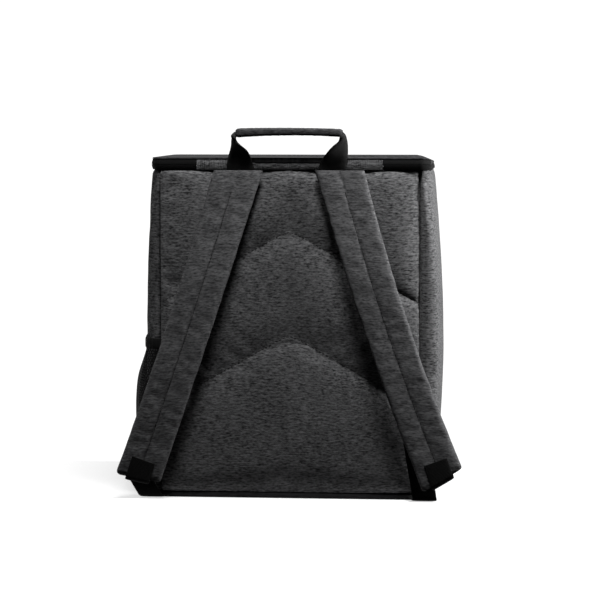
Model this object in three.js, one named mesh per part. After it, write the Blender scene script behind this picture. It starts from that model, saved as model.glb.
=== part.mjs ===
// A cooler backpack standing on its base, its wearer's side towards -Y.
// Millimetres, +Z up, origin at the middle of the base, on the floor.
import * as THREE from 'three';

// The insulated body
const bodyHeight = 341;      // floor to the seam under the lid's hinge
const bodyDepth = 180;       // wearer's panel to front panel
const rimWidth = 288;        // across the side panels at the rim
const footWidth = 294;       // the same at the base
const sideSwell = 5;         // how far a side panel swells out half way up
const sideBow = 3.5;         // how far it bows out between its two corners as well
const cornerDepth = 18;      // depth of the rounded corner between seam and side
const panelWidth = 268;      // the wearer's and front panels between their side seams
const wall = 8;              // cloth, foam and lining together
const frontSwell = 4;        // how far the front panel swells out
const baseThickness = 6;     // padded floor of the bag
const baseRound = 2.5;       // rounding of its lower edge
const gap = 0.3;             // between pieces that are sewn together

// The quilting of the wearer's panel
const padRise = 6;           // how far the padding swells between its seams
const upperPad = 64;         // hinge seam to the point of the upper chevron
const middlePad = 108;       // point of the upper chevron to point of the lower one
const chevronSlope = 0.62;   // fall of a chevron seam per width
const chevronRound = 12;     // rounding of its point

// Zip, hinge and lid
const bandHeight = 11;       // both tapes together
const toothGap = 0.4;        // between the two tapes
const tapeThickness = 2.2;
const tapeProud = 1.6;       // how far the closed teeth stand out of the body's side
const hingeWidth = 193;      // cloth strip between the ends of the zip
const hingeThickness = 2.4;
const hingeFold = 0.8;       // how far its middle stands out
const lidThickness = 7;
const lidLip = 1.3;          // height of the lid's edge above the tape
const lidCrown = 1.6;        // rise of the lid from its edge to its middle
const lidDip = 4;            // sag of the lid's edge behind the handle
const sliderWidth = 9;
const sliderLength = 26;
const sliderThickness = 3;

// Carrying handle
const handleRise = 38;       // hinge seam to the middle of the grip
const gripLength = 112;
const gripThickness = 8;
const gripDepth = 24;
const gripArch = 1.4;
const legInset = 8.5;        // from the grip's end in to the middle of a leg's foot
const legWidth = 28;
const legThickness = 2.4;

// Shoulder straps
const strapWidth = 46;
const strapThickness = 9;
const strapSpacing = 104;    // between the straps' middles at the hinge seam
const strapClearance = 13;   // air between the hanging strap and the padding
const strapReach = 105;      // how far sideways a strap runs on its way down
const strapEndHeight = 24;   // floor to the middle of its end

// Webbing from each strap's end to the bag's bottom corner
const webbingWidth = 25;
const webbingThickness = 1.8;
const patchLength = 21;      // stitched on the strap's face

// Net pocket on the viewer's left side
const pocketHeight = 166;    // floor to mouth
const netThickness = 1.2;
const netSwell = 18;         // how far the net hangs out from the side panel
const elasticHeight = 11;
const elasticThickness = 2;
const mouthOpening = 7;      // elastic to side panel, half way between the seams

// How each strap hangs: shares of its sideways reach and end height, the curve of its way
// down, and as shares of its width how far its end leans forward and how much longer its
// outer edge is cut than its inner edge
const straps = [
  { name: 'left', side: -1, reach: 0.97, curl: 0.14, end: 0.96, forth: 0, skew: 0.13 },
  { name: 'right', side: 1, reach: 1.02, curl: 0.3, end: 1.08, forth: 0.22, skew: -0.19 },
];

// Shares of the strap's air, padding, thickness and width, against its share of the way down
const strapRows = [
  { t: 0, air: 0, pad: 0, thick: 0.4, wide: 1.06 },
  { t: 0.02, air: 0.01, pad: 0.6, thick: 0.6, wide: 1.06 },
  { t: 0.05, air: 0.05, pad: 1, thick: 0.85, wide: 1.06 },
  { t: 0.12, air: 0.2, pad: 1, thick: 1, wide: 1.03 },
  { t: 0.35, air: 0.75, pad: 1, thick: 1, wide: 1 },
  { t: 0.65, air: 1, pad: 1, thick: 1, wide: 0.98 },
  { t: 0.93, air: 1, pad: 1, thick: 1, wide: 1 },
  { t: 1, air: 1, pad: 1, thick: 0.5, wide: 1.02 },
];

// Half the strap's section: padded lobes beside the stitched channel, thin rolled edges
const strapSection = [
  { across: -1, lift: 0.3 },
  { across: -0.9, lift: 0.75 },
  { across: -0.5, lift: 1 },
  { across: 0, lift: 0.6 },
  { across: 0.5, lift: 1 },
  { across: 0.9, lift: 0.75 },
  { across: 1, lift: 0.3 },
];

// The handle's leg: share of the rise, of the way out to the grip's end, of its width and
// thickness, of a quarter turn, and how far it leans forward as a share of its width
const legRows = [
  { up: 0, out: 0, wide: 1, thick: 1, turn: 0, forth: 0 },
  { up: 0.15, out: 0.1, wide: 0.94, thick: 1, turn: 0.06, forth: 0.07 },
  { up: 0.3, out: 0.22, wide: 0.86, thick: 1, turn: 0.16, forth: 0.14 },
  { up: 0.58, out: 0.48, wide: 0.8, thick: 1.1, turn: 0.5, forth: 0.1 },
  { up: 0.75, out: 0.78, wide: 0.8, thick: 1.3, turn: 0.8, forth: 0.04 },
  { up: 0.86, out: 1, wide: 0.8, thick: 1.4, turn: 1, forth: 0 },
  { up: 1.08, out: 1, wide: 0.75, thick: 1.2, turn: 1, forth: 0 },
];

// How the net hangs out, from its seam at the base to the elastic
const netRows = [
  { t: 0, out: 0 },
  { t: 0.12, out: 0.4 },
  { t: 0.3, out: 0.85 },
  { t: 0.5, out: 1 },
  { t: 0.75, out: 0.8 },
  { t: 1, out: 0 },
];

const Z = new THREE.Vector3(0, 0, 1);
const lerp = THREE.MathUtils.lerp;
const smoothstep = THREE.MathUtils.smoothstep;
const steps = (count) => Array.from({ length: count + 1 }, (unused, i) => i / count);
const vector = (x, y, z) => new THREE.Vector3(x, y, z);

// Value of one column of a table at a value of its first column
function along(table, key, value, column) {
  const found = table.findIndex((row) => row[key] >= value);
  const next = found < 0 ? table.length - 1 : Math.max(1, found);
  const [from, to] = [table[next - 1], table[next]];
  return lerp(from[column], to[column], (value - from[key]) / (to[key] - from[key]));
}

// Triangles that close a flat ring of points, wound as the ring is
function capTriangles(ring) {
  const normal = vector(0, 0, 0);
  ring.forEach((point, i) => {
    const next = ring[(i + 1) % ring.length].clone().sub(ring[0]);
    normal.add(point.clone().sub(ring[0]).cross(next));
  });
  const flatten = new THREE.Quaternion().setFromUnitVectors(normal.normalize(), Z);
  const flat = ring.map((point) => point.clone().applyQuaternion(flatten));
  return THREE.ShapeUtils.triangulateShape(flat.map((p) => new THREE.Vector2(p.x, p.y)), []);
}

// A solid lofted through rings of equally many points, flat at both ends
function loft(rings) {
  const count = rings[0].length;
  const last = count * (rings.length - 1);
  const triangles = [];
  for (let r = 0; r + 1 < rings.length; r++) {
    for (let i = 0; i < count; i++) {
      const a = r * count + i;
      const b = r * count + (i + 1) % count;
      triangles.push([a, b, b + count], [a, b + count, a + count]);
    }
  }
  capTriangles(rings[0]).forEach(([a, b, c]) => triangles.push([a, c, b]));
  capTriangles(rings.at(-1)).forEach(([a, b, c]) => triangles.push([a + last, b + last, c + last]));
  const points = rings.flat();
  const volume = triangles.reduce(
    (sum, [a, b, c]) => sum + points[a].dot(points[b].clone().cross(points[c])), 0);
  const outward = volume < 0 ? triangles.map(([a, b, c]) => [a, c, b]) : triangles;
  const geometry = new THREE.BufferGeometry().setFromPoints(points);
  geometry.setIndex(outward.flat());
  geometry.computeVertexNormals();
  return geometry;
}

const bag = new THREE.Group();
const heather = new THREE.MeshStandardMaterial({ color: 0x3c3c3d, roughness: 0.95 });
const black = new THREE.MeshStandardMaterial({ color: 0x141414, roughness: 0.85 });
const netting = new THREE.MeshStandardMaterial({ color: 0x101010, roughness: 0.9 });
const metal = new THREE.MeshStandardMaterial({ color: 0x202020, roughness: 0.45, metalness: 0.8 });

function add(name, geometry, material) {
  const mesh = new THREE.Mesh(geometry, material);
  mesh.name = name;
  bag.add(mesh);
}

// Plan of the bag. A side runs from the back seam round a corner, along the flank and round
// the front corner; turn is the share of the quarter turn, run the share of the flank.
const rimHeight = bodyHeight + bandHeight;
const legFoot = gripLength / 2 - legInset;
const backFace = -bodyDepth / 2;
const seamX = panelWidth / 2;
const cornerSteps = 4;
const flankSteps = 6;
const sideStations = [
  ...steps(cornerSteps).map((t) => ({ turn: t, run: -1 })),
  ...steps(flankSteps).slice(1, -1).map((t) => ({ turn: 1, run: 2 * t - 1 })),
  ...steps(cornerSteps).map((t) => ({ turn: 1 - t, run: 1 })),
];

function sidePoint(side, { turn, run }, z, outset) {
  const up = Math.min(z / bodyHeight, 1);
  const angle = turn * Math.PI / 2;
  const seam = seamX + gap / 2;
  const bow = sideBow * Math.sin(Math.PI * up) * (1 - run * run);
  const flank = lerp(footWidth, rimWidth, up) / 2 + sideSwell * Math.sin(Math.PI * up) + bow;
  const facing = vector(Math.sin(angle), Math.sign(run) * Math.cos(angle), 0);
  const y = run * (bodyDepth / 2 - cornerDepth) + cornerDepth * facing.y;
  const point = vector(seam + (flank - seam) * facing.x, y, z).addScaledVector(facing, outset);
  return point.setX(point.x * side);
}

// The plan from one end of the hinge round the front to its other end
function zipRun(z, outset) {
  const backSteps = steps(2).slice(0, -1);
  const backX = (t) => lerp(hingeWidth / 2, seamX, t);
  const front = steps(6).slice(1, -1).map((t) => lerp(seamX, -seamX, t));
  return [
    ...backSteps.map((t) => vector(backX(t), backFace - outset, z)),
    ...sideStations.map((station) => sidePoint(1, station, z, outset)),
    ...front.map((x) => vector(x, bodyDepth / 2 + outset, z)),
    ...sideStations.toReversed().map((station) => sidePoint(-1, station, z, outset)),
    ...backSteps.toReversed().map((t) => vector(-backX(t), backFace - outset, z)),
  ];
}

// The whole plan as one closed ring
const hingeStations = steps(12).map((t) => lerp(-hingeWidth / 2, hingeWidth / 2, t));
function planRing(z, outset) {
  const hinge = hingeStations.slice(1, -1).map((x) => vector(x, backFace - outset, z));
  return [...zipRun(z, outset), ...hinge];
}

// How far the lid and its hinge sag behind the handle
function dip(x, y) {
  const sideways = 1 - smoothstep(Math.abs(x), 0.56 * legFoot, 1.36 * legFoot);
  return lidDip * sideways * (1 - smoothstep(y, backFace, 0));
}

// Wearer's panel: rows follow the hinge seam, the two chevron seams and the base seam
function backPanel() {
  const chevron = (top, x) => top - chevronSlope * (Math.hypot(x, chevronRound) - chevronRound);
  const upperPoint = bodyHeight - upperPad;
  const padRows = steps(5);
  const rings = steps(20).map((t) => {
    const x = lerp(-1, 1, t) * (seamX - gap / 2);
    const seams = [
      bodyHeight,
      chevron(upperPoint, x),
      chevron(upperPoint - middlePad, x),
      baseThickness + gap,
    ];
    const sideways = 1 - Math.abs(x / seamX) ** 8;
    const rows = seams.slice(1).flatMap((below, pad) => padRows.slice(pad ? 1 : 0).map((share) => ({
      z: lerp(seams[pad], below, share),
      swell: padRise * sideways * Math.sin(Math.PI * share) ** 0.7,
    })));
    return [
      ...rows.map(({ z, swell }) => vector(x, backFace - Math.max(swell, 0), z)),
      ...rows.toReversed().map(({ z }) => vector(x, backFace + wall, z)),
    ];
  });
  return loft(rings);
}

function frontPanel() {
  const rings = steps(10).map((t) => {
    const x = lerp(-1, 1, t) * (seamX - gap / 2);
    const sideways = 1 - Math.abs(x / seamX) ** 4;
    const rows = steps(8).map((share) => ({
      z: lerp(bodyHeight, baseThickness + gap, share),
      swell: frontSwell * sideways * Math.sin(Math.PI * share),
    }));
    return [
      ...rows.map(({ z, swell }) => vector(x, bodyDepth / 2 + swell, z)),
      ...rows.toReversed().map(({ z }) => vector(x, bodyDepth / 2 - wall, z)),
    ];
  });
  return loft(rings);
}

function sidePanel(side) {
  const heights = steps(9).map((t) => lerp(baseThickness + gap, bodyHeight, t));
  return loft(sideStations.map((station) => [
    ...heights.map((z) => sidePoint(side, station, z, 0)),
    ...heights.toReversed().map((z) => sidePoint(side, station, z, -wall)),
  ]));
}

function basePanel() {
  const rounding = steps(3).map((t) => {
    const angle = t * Math.PI / 2;
    return planRing(baseRound * (1 - Math.cos(angle)), -baseRound * (1 - Math.sin(angle)));
  });
  return loft([...rounding, planRing(baseThickness - 1, 0), planRing(baseThickness, -1)]);
}

// One tape of the zip, from its sewn edge to its teeth
function zipTape(sewn, teeth) {
  const rows = [
    { z: sewn, out: 0.2 * tapeProud },
    { z: lerp(sewn, teeth, 0.6), out: 0.75 * tapeProud },
    { z: teeth, out: tapeProud },
  ];
  const outer = rows.map(({ z, out }) => zipRun(z, out));
  const inner = rows.toReversed().map(({ z, out }) => zipRun(z, out - tapeThickness));
  const sections = outer[0].map((unused, i) => [...outer, ...inner].map((run) => run[i]));
  return loft(sections);
}

function hinge() {
  return loft(hingeStations.map((along) => {
    const x = along * (1 - 2 * gap / hingeWidth);
    const top = rimHeight - dip(x, backFace);
    const rows = steps(4).map((t) => ({
      z: lerp(bodyHeight + gap, top, t),
      out: hingeFold * Math.sin(Math.PI * t),
    }));
    return [
      ...rows.map(({ z, out }) => vector(x, backFace - out, z)),
      ...rows.toReversed().map(({ z, out }) => vector(x, backFace + hingeThickness - out, z)),
    ];
  }));
}

// The lid stands inside the tape, its lip lies on the tape's edge and its top is crowned
function lid() {
  const lip = rimHeight + gap;
  const inside = -(tapeThickness + gap);
  const crownRings = 4;
  const rings = [
    planRing(lip + lidLip - lidThickness, inside),
    planRing(lip, inside),
    planRing(lip, gap),
    planRing(lip + lidLip / 2, gap),
    ...steps(crownRings).map((t) => {
      const rise = lidCrown * (1 - (1 - t) ** 2);
      const inward = vector(1 - 0.8 * t, 1 - 0.8 * t, 1);
      return planRing(lip + lidLip + rise, -lidLip).map((point) => point.multiply(inward));
    }),
  ];
  rings.slice(0, -1).flat().forEach((point) => {
    point.z -= dip(point.x, point.y);
  });
  return loft(rings);
}

// A plain slider with its tab, hanging in the middle of the front
function slider() {
  const face = bodyDepth / 2 + tapeProud + gap;
  const top = rimHeight - bandHeight / 4;
  const round = (inset, y) => steps(16).slice(0, -1).map((t) => {
    const angle = t * 2 * Math.PI;
    const straight = (sliderLength - sliderWidth) / 2;
    const z = top - sliderLength / 2 + Math.sign(Math.sin(angle)) * straight;
    const radius = sliderWidth / 2 - inset;
    return vector(radius * Math.cos(angle), y, z + radius * Math.sin(angle));
  });
  const edge = sliderThickness / 4;
  return loft([round(0, face), round(0, face + sliderThickness - edge),
    round(edge, face + sliderThickness)]);
}

// Handle
const gripMiddle = bodyHeight + handleRise;
const handleY = backFace - hingeFold - gap - legThickness / 2;

function grip() {
  return loft(steps(8).map((t) => {
    const share = 2 * t - 1;
    const lift = 1 - share * share;
    const halfThickness = gripThickness / 2 * (1 - 0.18 * lift);
    return steps(12).slice(0, -1).map((around) => {
      const angle = around * 2 * Math.PI;
      const y = handleY + gripDepth / 2 * Math.cos(angle);
      const z = gripMiddle + gripArch * lift + halfThickness * Math.sin(angle);
      return vector(share * gripLength / 2, y, z);
    });
  }));
}

function leg(side) {
  const topX = gripLength / 2 + gap + 0.72 * legThickness;
  return loft(legRows.map(({ up, out, wide, thick, turn, forth }) => {
    const centre = vector(side * lerp(legFoot, topX, out), handleY - forth * legWidth,
      lerp(bodyHeight + gap, gripMiddle, up));
    const angle = turn * Math.PI / 2;
    const across = vector(Math.cos(angle), side * Math.sin(angle), 0);
    const facing = vector(-across.y, across.x, 0);
    const corners = [[-1, -1], [1, -1], [1, 1], [-1, 1]];
    return corners.map(([a, f]) => centre.clone()
      .addScaledVector(across, a * legWidth / 2 * wide)
      .addScaledVector(facing, f * legThickness / 2 * thick));
  }));
}

// Place and directions of a strap at a share of the way down
function strapFrame(strap, t) {
  const middle = (s) => {
    const share = (column) => along(strapRows, 't', s, column);
    const off = gap + share('thick') * strapThickness / 2 + share('pad') * padRise
      + share('air') * strapClearance + strap.forth * strapWidth * s * s;
    const reach = strap.reach * strapReach * s * (1 - strap.curl + strap.curl * s);
    const height = lerp(bodyHeight - gap, strap.end * strapEndHeight, s);
    return vector(strap.side * (strapSpacing / 2 + reach), backFace - off, height);
  };
  const nudge = 0.03;
  const before = middle(Math.max(t - nudge, 0));
  const after = middle(Math.min(t + nudge, 1));
  const down = after.sub(before).normalize();
  const across = vector(strap.side, 0, 0).projectOnPlane(down).normalize();
  const facing = down.clone().cross(across).multiplyScalar(strap.side);
  return { middle: middle(t), down, across, facing: facing.y > 0 ? facing.negate() : facing };
}

function shoulderStrap(strap) {
  const stations = [0, 0.02, 0.05, 0.085, ...steps(15).map((t) => lerp(0.12, 0.96, t)), 1];
  return loft(stations.map((t) => {
    const { middle, down, across, facing } = strapFrame(strap, t);
    const halfWidth = strapWidth / 2 * along(strapRows, 't', t, 'wide');
    const halfThickness = strapThickness / 2 * along(strapRows, 't', t, 'thick');
    const top = 1 - smoothstep(t, 0.02, 0.12);
    const skewed = strap.skew * strapWidth / 2 * smoothstep(t, 0.9, 1);
    const cut = skewed - top * across.z * halfWidth / down.z;
    facing.lerp(vector(0, -1, 0), top).normalize();
    const place = ({ across: a, lift }, face) => middle.clone()
      .addScaledVector(across, a * halfWidth)
      .addScaledVector(facing, face * lift * halfThickness)
      .addScaledVector(down, a * cut);
    return [
      ...strapSection.map((row) => place(row, 1)),
      ...strapSection.toReversed().map((row) => place(row, -1)),
    ];
  }));
}

// Webbing from a patch on the strap's face, over its end, along the floor to the side seam
function strapWebbing(strap) {
  const { middle, down, across, facing } = strapFrame(strap, 1);
  const face = strapThickness / 2 + gap + webbingThickness / 2;
  const onStrap = (beyond, lift) => middle.clone()
    .addScaledVector(down, beyond)
    .addScaledVector(facing, lift);
  const floor = webbingThickness / 2 + gap;
  const anchor = vector(strap.side * seamX, backFace - 2 * gap, baseThickness / 2);
  const longerEdge = Math.abs(strap.skew) * strapWidth / 2;
  const pastEnd = onStrap(longerEdge + 2 * webbingThickness, 0);
  const lowest = vector(lerp(pastEnd.x, anchor.x, 0.6), lerp(pastEnd.y, anchor.y, 0.35), floor);
  const route = [
    { point: onStrap(-patchLength, face), sideways: 0 },
    { point: onStrap(-patchLength / 2, face), sideways: 0 },
    { point: onStrap(longerEdge / 2, face), sideways: 0 },
    { point: pastEnd, sideways: 0.2 },
    { point: pastEnd.clone().lerp(lowest, 0.6), sideways: 0.75 },
    { point: lowest, sideways: 1 },
    { point: lowest.clone().lerp(anchor, 0.5), sideways: 1 },
    { point: anchor, sideways: 1 },
  ];
  return loft(route.map(({ point, sideways }, i) => {
    const ahead = route[Math.min(i + 1, route.length - 1)].point;
    const behind = route[Math.max(i - 1, 0)].point;
    const forward = ahead.clone().sub(behind).normalize();
    const wide = across.clone().lerp(vector(strap.side, 0, 0), sideways).normalize();
    const thick = forward.cross(wide).normalize();
    const corners = [[-1, -1], [1, -1], [1, 1], [-1, 1]];
    return corners.map(([a, f]) => point.clone()
      .addScaledVector(wide, a * webbingWidth / 2)
      .addScaledVector(thick, f * webbingThickness / 2));
  }));
}

// A wall that follows the left side panel, standing off it by a given amount
function aroundSide(heights, standoff, thickness) {
  return loft(sideStations.map((station, i) => {
    const spread = Math.sin(Math.PI * i / (sideStations.length - 1));
    const row = (z, extra) => sidePoint(-1, station, z, gap + standoff(z, spread) + extra);
    return [
      ...heights.map((z) => row(z, thickness)),
      ...heights.toReversed().map((z) => row(z, 0)),
    ];
  }));
}

function net() {
  const low = baseThickness + gap;
  const high = pocketHeight - elasticHeight - gap;
  const standoff = (z, spread) => {
    const t = (z - low) / (high - low);
    const mouth = mouthOpening * spread * t ** 4;
    return mouth + netSwell * along(netRows, 't', t, 'out') * spread ** 0.6;
  };
  return aroundSide(steps(9).map((t) => lerp(low, high, t)), standoff, netThickness);
}

function elastic() {
  const heights = steps(2).map((t) => pocketHeight - elasticHeight * (1 - t));
  return aroundSide(heights, (z, spread) => mouthOpening * spread, elasticThickness);
}

const tapeMiddle = bodyHeight + gap + (bandHeight - gap) / 2;
add('back_panel', backPanel(), heather);
add('front_panel', frontPanel(), heather);
add('side_panel_left', sidePanel(-1), heather);
add('side_panel_right', sidePanel(1), heather);
add('base_panel', basePanel(), heather);
add('zip_tape_lower', zipTape(bodyHeight + gap, tapeMiddle - toothGap / 2), black);
add('zip_tape_upper', zipTape(rimHeight, tapeMiddle + toothGap / 2), black);
add('zip_slider', slider(), metal);
add('lid_hinge', hinge(), heather);
add('lid_panel', lid(), heather);
add('handle_grip', grip(), heather);
add('handle_webbing_left', leg(-1), black);
add('handle_webbing_right', leg(1), black);
for (const strap of straps) {
  add(`shoulder_strap_${strap.name}`, shoulderStrap(strap), heather);
  add(`strap_webbing_${strap.name}`, strapWebbing(strap), black);
}
add('side_pocket_mesh', net(), netting);
add('side_pocket_elastic', elastic(), black);

export default bag;
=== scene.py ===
# %% [markdown]
# # A cooler backpack
#
# The bag stands on its base and shows its wearer's side: a quilted back panel, two padded
# shoulder straps, a carrying handle, a boxy lid closed by a black zip, and a net pocket.
# Everything is made in code, around solids that give each piece its place and its size.
# Lengths in this lesson are millimetres until a mesh is made, and Blender gets metres.

# %% Load the frame
import math

import bpy
import numpy as np
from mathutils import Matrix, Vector, noise


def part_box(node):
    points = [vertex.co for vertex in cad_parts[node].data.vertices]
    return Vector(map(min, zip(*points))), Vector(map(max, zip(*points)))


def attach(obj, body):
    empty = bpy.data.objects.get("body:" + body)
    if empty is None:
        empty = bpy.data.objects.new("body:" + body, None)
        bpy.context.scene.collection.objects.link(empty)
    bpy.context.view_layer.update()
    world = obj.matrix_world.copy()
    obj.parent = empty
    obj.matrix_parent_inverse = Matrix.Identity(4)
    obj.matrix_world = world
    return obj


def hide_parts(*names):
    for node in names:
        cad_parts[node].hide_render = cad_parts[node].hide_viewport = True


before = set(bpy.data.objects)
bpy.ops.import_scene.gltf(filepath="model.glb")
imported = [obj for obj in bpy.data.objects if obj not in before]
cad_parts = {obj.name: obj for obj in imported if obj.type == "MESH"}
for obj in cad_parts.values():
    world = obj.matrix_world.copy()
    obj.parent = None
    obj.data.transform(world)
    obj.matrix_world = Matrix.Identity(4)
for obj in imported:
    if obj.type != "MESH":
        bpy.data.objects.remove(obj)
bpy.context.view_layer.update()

MM = 0.001

# %% [markdown]
# ## Sizes taken from the frame
#
# The side panel's box gives the seams, the faces and the height of the body, so that no
# piece has to be fitted afterwards. What a box can't tell, such as how far cloth swells
# between two seams, is a named value here.

# %% Sizes
def box_mm(node):
    low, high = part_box(node)
    return low / MM, high / MM


side_low, side_high = box_mm("side_panel_right")
rim_high = box_mm("zip_tape_upper")[1]
hinge_high = box_mm("lid_hinge")[1]
SEAM_X = side_low.x
BACK_Y = side_low.y
FRONT_Y = side_high.y
FOOT_Z = side_low.z
SEAM_Z = side_high.z
RIM_Z = rim_high.z
GAP = 0.3
WALL = 8.0
RIM_WIDTH = 288.0
FOOT_WIDTH = 294.0
SIDE_SWELL = 5.0
SIDE_BOW = 3.5
SIDE_TRIM = {-1: -0.9, 1: 1.1}
CORNER = 18.0
print("body height, mm:", round(SEAM_Z), "depth:", round(FRONT_Y - BACK_Y))

# %% [markdown]
# ## Camera
#
# The photograph looks at the back panel from a little above and slightly from the right,
# through a long lens, as product pictures are taken. The lens and the distance give the
# bag its size in the frame, and the aim gives its place, so no shift is needed.

# %% Camera
scene = bpy.context.scene
VIEW_DISTANCE = 2400.0
VIEW_AZIMUTH = math.radians(5.0)
VIEW_HEIGHT = 400.0
AIM = Vector((10.8, BACK_Y, 206.9))

lens = bpy.data.cameras.new("camera")
lens.lens = 139.8
lens.sensor_width = 36.0
lens.clip_end = 60.0
camera = bpy.data.objects.new("camera", lens)
stand = Vector((math.sin(VIEW_AZIMUTH), -math.cos(VIEW_AZIMUTH), 0.0)) * VIEW_DISTANCE
camera.location = (Vector((0.0, BACK_Y, VIEW_HEIGHT)) + stand) * MM
camera.rotation_mode = "QUATERNION"
camera.rotation_quaternion = (AIM * MM - camera.location).to_track_quat("-Z", "Y")
scene.collection.objects.link(camera)
scene.camera = camera
scene.view_settings.view_transform = "Standard"
print("camera at, mm:", [round(v / MM) for v in camera.location])

# %% [markdown]
# ## Floor and light
#
# The photograph has a white studio round the bag. A small soft box hangs above and in
# front: it throws the soft shadows that the straps leave on their inner sides. A second
# box to the right lights the side panel and rakes across the edge of the back panel.
# The world is white behind the bag and dim in front, as in a studio with one white wall.
# The floor is a small patch that glows faintly, so only the shade at the feet shows on it.

# %% Floor and lights
def node(tree, kind, inputs=(), **settings):
    """Adds one shader node, sets its properties, then its inputs as values or links."""
    made = tree.nodes.new(kind)
    for key, value in settings.items():
        setattr(made, key, value)
    for key, value in dict(inputs).items():
        if isinstance(value, bpy.types.NodeSocket):
            tree.links.new(value, made.inputs[key])
        else:
            made.inputs[key].default_value = value
    return made


def soft_box(name, place, aim, size, power):
    light = bpy.data.lights.new(name, "AREA")
    light.shape = "RECTANGLE"
    light.size = size[0] * MM
    light.size_y = size[1] * MM
    light.energy = power
    lamp = bpy.data.objects.new(name, light)
    lamp.location = Vector(place) * MM
    lamp.rotation_mode = "QUATERNION"
    lamp.rotation_quaternion = (Vector(aim) - Vector(place)).to_track_quat("-Z", "Y")
    scene.collection.objects.link(lamp)


soft_box("top_box", (60, -410, 1150), (0, -90, 190), (240, 180), 16.5)
soft_box("right_box", (700, -108, 580), (140, -70, 230), (150, 300), 12.0)

world = bpy.data.worlds.new("studio")
world.use_nodes = True
world.node_tree.nodes.clear()
air = world.node_tree
direction = node(air, "ShaderNodeTexCoord")
axes = node(air, "ShaderNodeSeparateXYZ", {"Vector": direction.outputs["Generated"]})
behind = node(air, "ShaderNodeMapRange", {"Value": axes.outputs["Y"], "From Min": 0.0,
              "From Max": 0.3, "To Min": 0.03, "To Max": 1.1})
sky = node(air, "ShaderNodeBackground", {"Color": (1, 1, 1, 1), "Strength": behind.outputs["Result"]})
node(air, "ShaderNodeOutputWorld", {"Surface": sky.outputs["Background"]})
scene.world = world

floor_mesh = bpy.data.meshes.new("floor")
floor_mesh.from_pydata([(-0.3, -0.104, 0), (0.3, -0.104, 0), (0.3, 0.15, 0), (-0.3, 0.15, 0)],
                       [], [(0, 1, 2, 3)])
floor = bpy.data.objects.new("floor", floor_mesh)
paint = bpy.data.materials.new("white acrylic floor")
paint.use_nodes = True
acrylic = paint.node_tree.nodes["Principled BSDF"]
acrylic.inputs["Base Color"].default_value = (0.3, 0.3, 0.3, 1)
acrylic.inputs["Roughness"].default_value = 0.9
acrylic.inputs["Emission Color"].default_value = (1, 1, 1, 1)
acrylic.inputs["Emission Strength"].default_value = 0.6
floor_mesh.materials.append(paint)
scene.collection.objects.link(floor)

# %% [markdown]
# ## Cloth and other finishes
#
# The body is heather polyester: dark warp and lighter, uneven weft yarns, so short light
# and dark streaks run across it. Each mesh carries a flat cutting pattern as its UV map,
# in metres, with U along the weft, so the streaks keep their length on every piece.

# %% Colour and material helpers
def linear(code):
    """A linear colour from an sRGB hex code."""
    parts = [int(code[i:i + 2], 16) / 255 for i in (0, 2, 4)]
    return tuple(p / 12.92 if p <= 0.04045 else ((p + 0.055) / 1.055) ** 2.4 for p in parts) + (1.0,)


def finish(name, roughness, **sockets):
    """A new material with its Principled shader; returns material, node tree and shader."""
    material = bpy.data.materials.new(name)
    material.use_nodes = True
    tree = material.node_tree
    shader = tree.nodes["Principled BSDF"]
    shader.inputs["Roughness"].default_value = roughness
    for key, value in sockets.items():
        shader.inputs[key.replace("_", " ")].default_value = value
    return material, tree, shader


def pattern(tree, length, width, detail=2.0, seed=0.0):
    """Noise on the cutting pattern, its grains length by width in millimetres."""
    flat = node(tree, "ShaderNodeUVMap", uv_map="cut")
    scaled = node(tree, "ShaderNodeMapping", {"Vector": flat.outputs["UV"],
                  "Location": (seed, seed * 1.7, 0), "Scale": (1 / (length * MM), 1 / (width * MM), 1)})
    return node(tree, "ShaderNodeTexNoise", {"Vector": scaled.outputs["Vector"], "Scale": 1.0,
                "Detail": detail, "Roughness": 0.55}, noise_dimensions="2D").outputs["Fac"]


# %% [markdown]
# ### Heather polyester
#
# A plain weave of textured yarns, about 0.4 mm apart. That is finer than the picture can
# show, so the weave is drawn at 1.1 mm. Slubs are streaks some 8 mm long and 2 mm wide.
# The cloth is matt: roughness is high and it has almost no shine. The lid and the grip are
# painted darker, as painted shade, because the upper light strikes them more squarely, and
# the base is painted darker as the shade of its strip under the panels.

# %% Heather polyester
SLUB_LENGTH = 8.5
SLUB_WIDTH = 1.9
THREAD = 1.1


def heather(name, dark, light, strength=1.0):
    material, tree, shader = finish(name, 0.92, Specular_IOR_Level=0.12)
    slub = pattern(tree, SLUB_LENGTH, SLUB_WIDTH, 3.0)
    fleck = pattern(tree, 3.4, 1.3, 2.0, 3.1)
    patch = pattern(tree, 60.0, 34.0, 2.0, 7.7)
    long_share = node(tree, "ShaderNodeMath", {0: slub, 1: 0.56}, operation="MULTIPLY").outputs[0]
    both = node(tree, "ShaderNodeMath", {0: fleck, 1: 0.44, 2: long_share},
                operation="MULTIPLY_ADD").outputs[0]
    drift = node(tree, "ShaderNodeMath", {0: patch, 1: 0.10, 2: both}, operation="MULTIPLY_ADD").outputs[0]
    share = node(tree, "ShaderNodeMapRange", {"Value": drift, "From Min": 0.55 - 0.17 / strength,
                 "From Max": 0.55 + 0.17 / strength}).outputs["Result"]
    colour = node(tree, "ShaderNodeMix", {"Factor": share, "A": linear(dark), "B": linear(light)},
                  data_type="RGBA")
    tree.links.new(colour.outputs["Result"], shader.inputs["Base Color"])
    flat = node(tree, "ShaderNodeUVMap", uv_map="cut")
    weave = node(tree, "ShaderNodeTexChecker", {"Vector": flat.outputs["UV"], "Scale": 1 / (THREAD * MM)})
    relief = node(tree, "ShaderNodeMath", {0: weave.outputs["Fac"], 1: 0.25, 2: both},
                  operation="MULTIPLY_ADD").outputs[0]
    bump = node(tree, "ShaderNodeBump", {"Height": relief, "Strength": 0.5, "Distance": 0.0005})
    tree.links.new(bump.outputs["Normal"], shader.inputs["Normal"])
    return material


# The lid and grip cloths are painted darker than the body cloth: painted shade against the upper light.
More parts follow.
